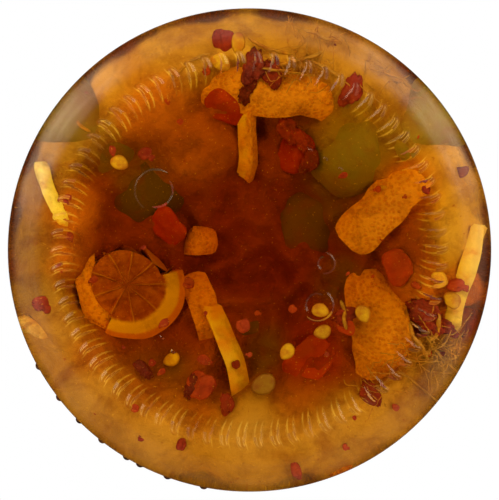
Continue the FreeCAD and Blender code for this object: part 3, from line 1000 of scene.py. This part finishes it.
def peel_strip(points, width, thick=2.2, roll=0.0, seed=1.0, zest_up=False, painted_glow=0.0):
    """A strip of peel: a grid laid along a line, curled across, thickened, with uneven cut edges and a share
    of painted glow.
    """
    line = [Vector(point) * MM for point in points]
    long = sum((b - a).length for a, b in zip(line, line[1:]))
    steps = max(12, int(long / (0.7 * MM)))
    strip = basic("grid", "strip", x_subdivisions=steps, y_subdivisions=12, size=2)

    def lay(at):
        share, across = (at.x + 1) / 2, at.y
        here, way = along(line, min(0.9999, max(0.0, share)))
        side = way.cross(Vector((0, 0, 1))).normalized()
        up = side.cross(way).normalized()
        half = 0.5 * width * MM
        from_end = min(1.0, (0.5 - abs(share - 0.5)) * long / half)
        half *= math.sqrt(1 - 0.8 * (1 - from_end) ** 4)
        half *= 1 + 0.16 * lump((share * long, across * 2 * MM, 0), 3 * MM, seed)
        angle = math.radians(roll) + 0.5 * lump(here, 12 * MM, seed + 2)
        drop = 0.22 * half * (across * across)
        offset = side * (across * half * math.cos(angle)) + up * (across * half * math.sin(angle) + drop)
        return here + offset + up * 0.5 * MM * lump(here + offset, 5 * MM, seed + 4)

    reshape(strip, lay)
    edit(strip)
    bpy.ops.mesh.normals_make_consistent(inside=False)
    done()
    down = sum(face.normal.z for face in strip.data.polygons) < 0
    if down == zest_up:
        edit(strip)
        bpy.ops.mesh.flip_normals()
        done()
    count = len(strip.data.vertices)
    modifier(strip, "SOLIDIFY", thickness=thick * MM, offset=-1.0)
    mark(strip, "zest", [float(number < count) for number in range(len(strip.data.vertices))])
    modifier(strip, "BEVEL", width=0.35 * MM, segments=2, limit_method="ANGLE", angle_limit=math.radians(50))
    # How much painted glow the strip takes, for the finish to read.
    mark(strip, "painted_glow", [painted_glow] * len(strip.data.vertices))
    return strip


def peel_skin():
    """Dimpled zest on one side, pale pith on the other, both on the cut edges, and a painted glow on some
    strips.
    """
    finish = Finish("orange_peel")
    zest = finish.attribute("zest")
    mottle = finish.cloud(4 * MM, 4.0, 0.6)
    pores = finish.cells(0.6 * MM)
    outer = finish.mottled(mottle, tone("zest"), (0.70, 0.21, 0.02))
    outer = finish.blend(pores.between(0.20, 0.62) * 0.8 + 0.2, outer, (0.70, 0.23, 0.025))
    inner = finish.mottled(mottle, tone("pith"), (0.72, 0.22, 0.02))
    base = finish.blend(zest.between(0.55, 0.8), inner, outer)
    # Painted glow: bright yellow patches on the strips that take it, as though lit through.
    painted_glow = finish.attribute("painted_glow") * finish.cloud(2.4 * MM, 3.0, 0.6).between(0.25, 0.6)
    base = finish.blend(painted_glow, base, (0.96, 0.66, 0.14))
    dimples = (1.0 - pores.between(0.15, 0.7)) * zest * 0.5 + finish.cloud(1.6 * MM, 3.0)
    return in_oil(finish, base, 0.4, finish.bump(dimples, 0.3 * MM))


# The strips over the floor: their points in millimetres, their width, and what else peel_strip takes.
FLOOR_STRIPS = (
    ([(28.6, -14.9, 8.6), (24.6, -10.8, 7.5), (20, -5.8, 7), (15, -0.8, 7.6)], 7.4, {"seed": 1}),
    ([(19, 3, 10.5), (19.8, 9, 7.6), (20.8, 15, 7.2), (22.2, 21.4, 9.4)], 9.4, {"seed": 2}),
    ([(-12.5, -22.6, 9.5), (-5.5, -24.9, 7.8), (2, -24.8, 7.2), (9, -24.4, 7.2), (15.6, -22.4, 8.6)],
     7.6, {"seed": 3}),
    ([(0.9, -24, 8.8), (0.6, -19.5, 8), (0.9, -14, 8.4), (0.2, -10.5, 10.5)],
     2.2, {"thick": 2.6, "roll": 60, "seed": 5}),
    ([(-25, -9, 11.6), (-18, -18, 8.6), (-10.5, -24, 9)], 10, {"seed": 6}),
    ([(-31.2, -12.8, 8.8), (-31, -10, 7.9), (-30, -7, 7.4), (-28.2, -3.4, 7.8)],
     1.1, {"thick": 1.0, "seed": 7, "zest_up": True, "painted_glow": 0.95}),
    ([(-33, 9.6, 9.6), (-31.8, 11.4, 8.6), (-30, 12.8, 7.8)], 1.6, {"thick": 1.0, "seed": 30, "painted_glow": 0.35}),
    ([(-6.2, 9.2, 10), (-4.6, 13, 8.6), (-2.8, 17.5, 8.2), (-1.6, 23, 9.8)],
     2.3, {"thick": 1.5, "roll": 20, "seed": 8, "zest_up": True}),
    ([(-9, 3.6, 11.4), (-7.6, 7.6, 9.6), (-6.2, 11.6, 9.2), (-5.4, 16, 11.4)],
     4.4, {"thick": 1.6, "seed": 18}),
    ([(-11, -2, 13.5), (-9, -1.4, 10.5), (-5, -1.8, 12)], 4.4, {"seed": 9}),
    ([(33.6, -3.6, 9.6), (32.8, 1.6, 9.2), (31.6, 6.8, 8.6), (30.4, 12, 9)],
     1.0, {"thick": 1.0, "seed": 10, "zest_up": True, "painted_glow": 0.5}),
    ([(11, 32.2, 11), (14.5, 31.6, 10.4), (18, 30, 12)], 3.6, {"seed": 12}),
    ([(-26.4, -4, 9.4), (-25.8, 2, 8.2), (-24.6, 8, 8.2), (-22, 13, 9.6)], 3.6, {"seed": 14}),
    ([(-2, -12, 12.5), (-7, -15, 9.4), (-13, -15.6, 9)], 9, {"seed": 15}),
)


def wall_strips():
    """Strips on edge against the wall, spread by a golden angle."""
    chance = random.Random(23)
    strips = []
    for number in range(16):
        bearing, height = math.radians(number * GOLDEN_ANGLE + 20), 24 + number * 3.7
        line = []
        for step in (-1.5, -0.5, 0.5, 1.5):
            turn = bearing + step * 0.14 * chance.choice((-1, 1, 1))
            rise = height + step * chance.uniform(1.5, 4.5)
            out = inner_radius(rise * MM) / MM - 1.2 - chance.uniform(0, 2.0)
            line.append((out * math.cos(turn), out * math.sin(turn), rise))
        strips.append(peel_strip(line, chance.uniform(5, 7.5), roll=90, seed=20 + number))
    return strips


class OLIVEJAR_OT_peel(JarPiece):
    """Makes the strips of orange peel"""

    bl_idname = "olivejar.peel"
    bl_label = "Orange Peel"

    def execute(self, context):
        strips = [peel_strip(points, width, **more) for points, width, more in FLOOR_STRIPS]
        peel = joined("orange_peel", strips + wall_strips())
        reshape(peel, kept_in)
        smooth(peel, 60)
        sunk(peel, peel_skin())
        return {"FINISHED"}


def pepper_model(seed):
    """A soft, folded bit of pepper, about 8 mm across."""
    bit = basic("grid", "pepper_model", x_subdivisions=14, y_subdivisions=14, size=2)

    def fold(at):
        round_off = (1 - 0.29 * at.x * at.x * at.y * at.y) / (1 + 0.18 * at.x * at.x * at.y * at.y)
        wide = 4.2 * (1 + 0.5 * lump((at.x, at.y, 0), 1.3, seed))
        rise = 0.9 * lump((at.x, at.y, 0), 1.1, seed + 3) + 0.55 * at.x * at.x
        return Vector((at.x * wide * round_off, at.y * 0.78 * wide * round_off, rise)) * MM

    reshape(bit, fold)
    modifier(bit, "SOLIDIFY", thickness=1.1 * MM, offset=0.0)
    modifier(bit, "SUBSURF", levels=1, render_levels=1)
    smooth(bit)
    return bit


def wrinkled_model(seed, size, depth, level, ragged):
    """A dried, wrinkled bit of chilli."""
    bit = basic("ico_sphere", "wrinkled_model", subdivisions=level, radius=1)

    def crease(at):
        ridge = abs(lump(at, 0.45, seed)) + 0.5 * abs(lump(at, 0.2, seed + 1))
        swell = 1 + ragged * lump(at, 1.1, seed + 2) - depth * ridge
        return Vector([part * full * swell for part, full in zip(at, size)]) * MM

    reshape(bit, crease)
    smooth(bit)
    return bit


def seed_skin():
    finish = Finish("chilli_seed")
    mottle = finish.cloud(1.2 * MM, 3.0)
    base = finish.mottled(mottle, tone("seed"), (0.60, 0.19, 0.012))
    base = finish.blend(finish.attribute("edge") * 0.7, base, (0.42, 0.10, 0.008))
    base = finish.blend(finish.attribute("tint") * 0.7, base, (0.14, 0.035, 0.004))
    return in_oil(finish, base, 0.4, finish.bump(mottle, 0.1 * MM))


def seed_model():
    """A chilli seed: a flat, slightly kidney-shaped disc with a raised rim."""
    seed = basic("uv_sphere", "seed_model", segments=24, ring_count=12, radius=1)

    def flatten(at):
        thick = 0.34 + 0.16 * math.exp(-((min(1.0, reach(at)) - 0.86) / 0.12) ** 2)
        beak = 0.22 * max(0.0, at.x - 0.6) / 0.4 * (1 - abs(at.y))
        return Vector((at.x * 1.3 + beak, at.y * 1.1 + 0.14 * at.x * at.x, at.z * thick * 1.1)) * MM

    mark(seed, "edge", [reach(vertex.co) ** 6 for vertex in seed.data.vertices])
    reshape(seed, flatten)
    smooth(seed)
    return seed


def strewn(count, chance):
    """Places for small flakes strewn over the floor."""
    places = []
    for _ in range(count):
        bearing, out = chance.uniform(0, 2 * math.pi), FLOOR_REACH * math.sqrt(chance.uniform(0.02, 1))
        rise, turn, size = chance.uniform(0.4, 2.4), chance.uniform(0, 360), chance.uniform(0.3, 0.9)
        places.append(on_floor(out * math.cos(bearing), out * math.sin(bearing), rise, turn, size))
    return places


def scattered(count, chance, heights, size, depth):
    """Places against the wall, spread by a golden angle, between two heights, sizes and depths."""
    places = []
    low, high = heights
    for number in range(count):
        height = low + (high - low) * (number + chance.random()) / count
        turn, scale = chance.uniform(0, 360), chance.uniform(*size)
        bearing = number * 137.508 + chance.uniform(-12, 12)
        places.append(on_wall(bearing, height, chance.uniform(*depth), turn, scale))
    return places


class OLIVEJAR_OT_chilli(JarPiece):
    """Makes the red pepper, the dried chilli, its flakes and its seeds"""

    bl_idname = "olivejar.chilli"
    bl_label = "Pepper, Chilli and Seeds"

    def execute(self, context):
        chance = random.Random(41)
        tints = (0.2, 0.6, 0.0, 0.9, 0.4, 0.75)
        places = over_floor("red_pepper") + scattered(26, chance, (17, 84), (0.7, 1.2), (1.2, 3.0))
        pepper = many("red_pepper", [pepper_model(1), pepper_model(4)], places, tints)
        sunk(pepper, red_skin("red_pepper", tone("pepper"), (0.42, 0.035, 0.007)))

        places = over_floor("dried_chilli") + scattered(24, chance, (16, 82), (0.7, 1.2), (0.9, 2.4))
        models = [wrinkled_model(seed, (3.6, 2.2, 1.1), 0.5, 4, 0.75) for seed in (2, 6, 9)]
        sunk(many("dried_chilli", models, places, tints),
             red_skin("dried_chilli", tone("chilli"), (0.26, 0.02, 0.014)))

        places = over_floor("chilli_flakes") + strewn(46, chance)
        places += scattered(90, chance, (12, 88), (0.5, 1.5), (0.3, 1.0))
        wide = {12: 0.8, 15: 0.6, 19: 0.9}
        models = [wrinkled_model(seed, (1.0, wide[seed], 0.2), 0.2, 3, 1.1) for seed in wide]
        sunk(many("chilli_flakes", models, places, tints),
             red_skin("chilli_flake", (0.22, 0.014, 0.008), (0.40, 0.04, 0.012)))

        places = over_floor("chilli_seeds") + scattered(60, chance, (12, 87), (0.85, 1.1), (0.6, 1.6))
        tints = [0.1, 0.3, 0.0] * 3 + [1.0, 0.2, 0.1]
        sunk(many("chilli_seeds", [seed_model()], places, tints), seed_skin())
        return {"FINISHED"}


def red_skin(name, base, pale):
    finish = Finish(name)
    mottle = finish.cloud(2.2 * MM, 4.0, 0.6)
    fine = finish.cloud(0.6 * MM, 3.0)
    skin = finish.blend((mottle + 0.35 * finish.attribute("tint")).between(0.45, 0.85), base, pale)
    return in_oil(finish, skin, 0.35, finish.bump(mottle + 0.5 * fine, 0.3 * MM))


# The slice of orange: its radius in millimetres, half its number of segments, and where its flesh ends.
SLICE_R, HALF_SEGMENTS, FLESH_END = 8.9, 4.5, 0.70


def membrane(at):
    """0 on a membrane between two segments."""
    return abs(math.sin(math.atan2(at.y, at.x) * HALF_SEGMENTS + 0.3 * lump(at, 0.5, 5)))


def cut_face(at):
    """A point of a flat disc moved onto the cut face, with sunk segments in a proud ring."""
    out, turn = reach(at), math.atan2(at.y, at.x)
    rim = 1 + 0.05 * math.sin(2 * turn + 0.6) + 0.05 * lump(at, 0.5, 2)
    flesh = clamped((FLESH_END - out) / 0.06)
    wall = min(1.0, membrane(at) * 2.2) * min(1.0, out * 5)
    height = 0.5 * flesh * wall + 0.3 * lump(at, 0.14, 8) * flesh
    return Vector((at.x * SLICE_R * rim, at.y * SLICE_R * rim, height + 1.1 * out * out)) * MM


def slice_skin():
    """Flesh with pale membranes, then a ring of pith, then zest."""
    finish = Finish("orange_piece")
    out, ray = finish.attribute("out"), finish.attribute("ray")
    mottle = finish.cloud(1.4 * MM, 4.0, 0.6)
    flesh = finish.mottled(mottle, tone("pulp"), (0.40, 0.08, 0.01))
    flesh = finish.blend(ray.between(0.02, 0.20) * 0.45 + 0.55, (0.62, 0.22, 0.02), flesh)
    base = finish.blend((out + 0.06 * mottle).between(0.66, 0.74), flesh, (0.64, 0.27, 0.02))
    base = finish.blend((out + 0.03 * mottle).between(0.88, 0.94), base, tone("zest"))
    return in_oil(finish, base, 0.4, finish.bump(mottle, 0.4 * MM))


class OLIVEJAR_OT_citrus(JarPiece):
    """Makes the piece of orange, cut across its segments"""

    bl_idname = "olivejar.citrus"
    bl_label = "Orange Piece"

    def execute(self, context):
        piece = basic("circle", "orange_piece", vertices=144, radius=1, fill_type="TRIFAN")
        edit(piece)
        bpy.ops.mesh.subdivide(number_cuts=17)
        done()
        mark(piece, "out", [reach(vertex.co) for vertex in piece.data.vertices])
        mark(piece, "ray", [membrane(vertex.co) for vertex in piece.data.vertices])
        pick_faces(piece, lambda at, way: at.length > 0.62 and not -0.25 < math.atan2(at.y, at.x) < 2.0)
        bpy.ops.mesh.delete(type="FACE")
        done()
        reshape(piece, cut_face)
        modifier(piece, "SOLIDIFY", thickness=4.5 * MM, offset=1.0)
        piece.data.transform(on_floor(-19.0, 5.4, 2.2, 0, 1.0, 5, -4))
        reshape(piece, kept_in)
        smooth(piece, 60)
        sunk(piece, slice_skin())
        return {"FINISHED"}


def stalk(points, radius):
    """A thin stalk along a smooth line, in millimetres, tapering to its ends."""
    clean_start()
    line = bpy.data.curves.new("stalk", "CURVE")
    line.dimensions = "3D"
    line.bevel_depth = radius * MM
    line.bevel_resolution = 1
    line.use_fill_caps = True
    spline = line.splines.new("POLY")
    last = 9
    spline.points.add(last)
    for number in range(last + 1):
        at = along([Vector(point) * MM for point in points], min(0.9999, number / last))[0]
        spline.points[number].co = (*at, 1)
        spline.points[number].radius = 1.0 if 0 < number < last else 0.45
    stem = bpy.data.objects.new("stalk", line)
    bpy.context.collection.objects.link(stem)
    only(stem)
    bpy.ops.object.convert(target="MESH")
    return bpy.context.object


def wisp(x, y, turn, long, loose, chance, height):
    """Four points of a loose line over the floor; height says how high one is, this far from the axis."""
    line = []
    for step in (-0.5, -0.15, 0.2, 0.5):
        at_x = x + step * long * math.cos(turn) + chance.uniform(-loose, loose)
        at_y = y + step * long * math.sin(turn) + chance.uniform(-loose, loose)
        line.append((at_x, at_y, height(math.hypot(at_x, at_y))))
    return line


def tangle(x, y, spread, count, chance):
    """Fine fibres heaped about a point over the floor."""
    fibres = []
    for _ in range(count):
        at_x, at_y = x + chance.gauss(0, spread * 0.6), y + chance.gauss(0, spread * 0.45)
        out = math.hypot(at_x, at_y)
        share = min(1.0, FLOOR_REACH / out)
        turn, long = chance.uniform(0, math.pi), chance.uniform(1.5, 5.5)
        high = floor_height(share * out * MM) / MM + chance.uniform(0.4, 1.8)
        line = wisp(share * at_x, share * at_y, turn, long, 0.4, chance, lambda out: high)
        fibres.append(stalk(line, chance.uniform(0.04, 0.085)))
    return fibres


def wall_stalk(bearing, height, chance):
    """A stalk against the wall."""
    lean, long = chance.uniform(-1, 1), chance.uniform(3, 7)
    line = []
    for step in (-0.5, -0.2, 0.15, 0.5):
        turn, rise = bearing + step * long * lean / 34, height + step * long * (1 - abs(lean))
        out = inner_radius(rise * MM) / MM - chance.uniform(0.5, 1.3)
        line.append((out * math.cos(turn), out * math.sin(turn), rise))
    return stalk(line, chance.uniform(0.14, 0.3))


# The thicker stalks over the floor: x and y in millimetres, bearing in degrees and length.
STALKS = (
    (4, -31, 20, 8), (8, -29.6, -10, 7), (12, -28, 30, 6), (6, -27.2, 5, 9), (10.5, -31.6, 15, 5),
    (26, 14, 70, 6), (29, 16, 60, 7), (31, 20, 95, 5), (25.4, 20.4, 40, 6), (28.6, 12.2, 110, 5),
    (-9, -29, 150, 6), (-26, -20, 60, 5), (14.7, 10.2, 75, 5),
)
# Heaps of fibres: x, y, spread and number of fibres.
TANGLES = ((9, -30, 5.5, 54), (28, 15.5, 5.0, 60), (22, 20, 4.0, 20), (20, -26, 4.0, 20))


class OLIVEJAR_OT_herbs(JarPiece):
    """Makes the herb stalks and bits of stem"""

    bl_idname = "olivejar.herbs"
    bl_label = "Herbs"

    def execute(self, context):
        chance = random.Random(57)
        stems = []
        for x, y, bearing, long in STALKS:
            line = wisp(x, y, math.radians(bearing), long, 0.5, chance,
                        lambda out: floor_height(out * MM) / MM + chance.uniform(0.4, 1.6))
            stems.append(stalk(line, chance.uniform(0.16, 0.3)))
        for heap in TANGLES:
            stems += tangle(*heap, chance)
        for number in range(60):
            stems.append(wall_stalk(math.radians(number * GOLDEN_ANGLE + 9), 15 + number * 1.2, chance))
        herbs = joined("herb_stalks", stems)
        reshape(herbs, kept_in)
        smooth(herbs, 60)
        finish = Finish("herb_stalk")
        fibre = finish.cloud(0.8 * MM, 3.0)
        base = finish.mottled(fibre, tone("herb"), (0.36, 0.11, 0.01))
        base = finish.blend(finish.cloud(3 * MM, 2.0).between(0.35, 0.6) * 0.6, base, (0.36, 0.17, 0.03))
        sunk(herbs, in_oil(finish, base, 0.5, finish.bump(fibre, 0.1 * MM)))
        return {"FINISHED"}


# ---------------------------------------------------------------- the lid


class OLIVEJAR_OT_lid(JarPiece):
    """Finishes the lacquered lid and its sealing ring"""

    bl_idname = "olivejar.lid"
    bl_label = "Lid"

    def execute(self, context):
        finish = Finish("lid_lacquer")
        wear = finish.cloud(6 * MM, 5.0, 0.65)
        fine = finish.cloud(0.35 * MM, 3.0)
        base = finish.blend(wear.between(0.55, 0.8), (0.011, 0.011, 0.012), (0.022, 0.021, 0.020))
        lacquer = finish.principled(
            base_color=base, roughness=0.26 + 0.16 * wear, coat_weight=0.35, coat_roughness=0.12,
            normal=finish.bump(fine + 0.6 * wear, 0.02 * MM, 0.6),
        )
        dress("lid", finish.show(lacquer))
        finish = Finish("seal_compound")
        speck = finish.cloud(0.8 * MM, 4.0)
        base = finish.mottled(speck, (0.62, 0.60, 0.54), (0.50, 0.48, 0.42))
        seal = finish.principled(base_color=base, roughness=0.62, normal=finish.bump(speck, 0.04 * MM, 0.6))
        dress("lid_seal", finish.show(seal))
        return {"FINISHED"}


def dress(node, material):
    """Gives a piece of the frame its finish."""
    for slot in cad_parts[node].material_slots:
        slot.material = material


# ---------------------------------------------------------------- the stage


def pale_floor():
    """A pale floor that is clear from below."""
    floor = basic("plane", "floor", size=6.0)
    edit(floor)
    bpy.ops.mesh.subdivide(number_cuts=2)
    done()
    finish = Finish("pale_floor")
    base = finish.blend(finish.cloud(0.4, 3.0).between(0.3, 0.7), (0.78, 0.78, 0.77), (0.80, 0.80, 0.79))
    top = finish.principled(base_color=base, roughness=0.6, emission_color=WHITE, emission_strength=0.1)
    under = finish.node("NewGeometry").output("Backfacing")
    paint(floor, finish.show(finish.node("MixShader", {0: under, 1: top, 2: finish.clear()})))
    for ray in ("diffuse", "glossy", "transmission", "volume_scatter", "shadow"):
        setattr(floor, "visible_" + ray, False)
    floor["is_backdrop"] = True


def lamp(name, place, size, power):
    """A soft lamp that faces the jar and isn't mirrored in it."""
    bpy.ops.object.light_add(type="AREA", location=place)
    light = bpy.context.object
    light.name = name
    light.data.size = size
    light.data.energy = power
    light.data.color = (1.0, 0.985, 0.96)
    light.visible_glossy = False
    light.rotation_euler = (Vector((0, 0, 0.04)) - Vector(place)).to_track_quat("-Z", "Y").to_euler()


def studio():
    """White to the camera, soft on the jar, and in its mirror light warm soft boxes to the left and right."""
    world = bpy.data.worlds.new("studio")
    bpy.context.scene.world = world
    sky = Finish("studio", world)
    way = sky.node("TexCoord").output("Generated")
    height = sky.node("SeparateXYZ", {0: way}).output("Z")
    level = sky.node("VectorMath", {0: way, 1: (1.0, 1.0, 0.0)}, operation="MULTIPLY")
    level = sky.node("VectorMath", {0: level}, operation="NORMALIZE")
    axes = sky.node("SeparateXYZ", {0: level})
    east, south = axes.output("X"), axes.output("Y")
    left_box = (-0.848 * east - 0.53 * south).between(0.88, 0.985)
    right_box = (0.777 * east - 0.629 * south).between(0.88, 0.985)
    around = (0.85 - south).between(0.0, 0.6)
    bands = sky.node("VectorMath", {0: way, 1: (6.0, 6.0, 1.6)}, operation="MULTIPLY")
    bands = sky.node("TexNoise", {"Vector": bands, "Scale": 1.0, "Detail": 3.0, "Roughness": 0.6})
    tall = (height + 0.97).between(0.0, 0.34) * (0.75 - height).between(0.0, 0.75)
    boxes = tall * (0.25 + 0.4 * around + 1.9 * left_box + 1.5 * right_box)
    mirrored = boxes * (0.2 + 1.8 * bands) + 0.02
    light_path = sky.node("LightPath")
    seen, mirror = light_path.output("Is Camera Ray"), light_path.output("Is Glossy Ray")
    seen_through = 0.6 * light_path.output("Is Transmission Ray") * (0.1 - height).between(-0.3, 0.0)
    soft = (1.0 - (0.0 - height).between(0.12, 0.42)) * 0.15 + 0.25
    strength = soft + (mirrored - soft) * mirror
    strength = strength + (1.0 - strength) * seen_through
    strength = strength + (1.0 - strength) * seen
    warm = sky.blend(mirror, WHITE, (1.0, 0.84, 0.6))
    sky.show(sky.node("Background", {"Color": warm, "Strength": strength}))


class OLIVEJAR_OT_stage(JarPiece):
    """Makes the pale floor, the soft light and the camera"""

    bl_idname = "olivejar.stage"
    bl_label = "Stage, Light and Camera"

    def execute(self, context):
        pale_floor()
        lamp("under_left", (-0.55, 0.15, -0.42), 0.55, 2.2)
        lamp("under_right", (0.55, 0.1, -0.42), 0.55, 1.9)
        lamp("under_back", (0.0, -0.55, -0.45), 0.5, 1.6)
        lamp("key", (-0.6, -0.5, 0.75), 0.7, 5.0)
        lamp("fill", (0.75, -0.38, 0.56), 0.5, 2.6)
        lamp("rear", (0.2, 0.75, 0.7), 0.7, 3.5)
        studio()

        low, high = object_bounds()
        middle, below, lens = (low + high) / 2, -0.6, 281.7
        bpy.ops.object.camera_add(location=(middle.x, middle.y, below), rotation=(math.pi, 0, 0))
        camera = bpy.context.object
        camera.name = "camera"
        camera.data.sensor_width = 36.0
        camera.data.lens = lens
        camera.data.clip_start = 0.01
        camera.data.clip_end = 50.0
        context.scene.camera = camera
        context.scene.view_settings.view_transform = "Standard"
        return {"FINISHED"}


STEPS = (
    OLIVEJAR_OT_stage, OLIVEJAR_OT_glass, OLIVEJAR_OT_oil, OLIVEJAR_OT_mash, OLIVEJAR_OT_olives,
    OLIVEJAR_OT_peel, OLIVEJAR_OT_citrus, OLIVEJAR_OT_chilli, OLIVEJAR_OT_herbs, OLIVEJAR_OT_lid,
)


class OLIVEJAR_PT_panel(bpy.types.Panel):
    """The jar's steps, sizes and colours in the 3D view's sidebar"""

    bl_idname = "OLIVEJAR_PT_panel"
    bl_label = "Olive Jar"
    bl_space_type = "VIEW_3D"
    bl_region_type = "UI"
    bl_category = "Olive Jar"

    def draw(self, context):
        for step in STEPS:
            self.layout.operator(step.bl_idname)
        for group in (context.scene.jar_shape, context.scene.jar_colours):
            column = self.layout.column()
            for name in group.__annotations__:
                column.prop(group, name)


def register():
    for kind in (JarShape, JarColours, *STEPS, OLIVEJAR_PT_panel):
        bpy.utils.register_class(kind)
    bpy.types.Scene.jar_shape = PointerProperty(type=JarShape)
    bpy.types.Scene.jar_colours = PointerProperty(type=JarColours)


def unregister():
    del bpy.types.Scene.jar_colours
    del bpy.types.Scene.jar_shape
    for kind in reversed((JarShape, JarColours, *STEPS, OLIVEJAR_PT_panel)):
        bpy.utils.unregister_class(kind)


def main():
    register()
    for step in STEPS:
        group, name = step.bl_idname.split(".")
        getattr(getattr(bpy.ops, group), name)()


if __name__ == "__main__":
    main()
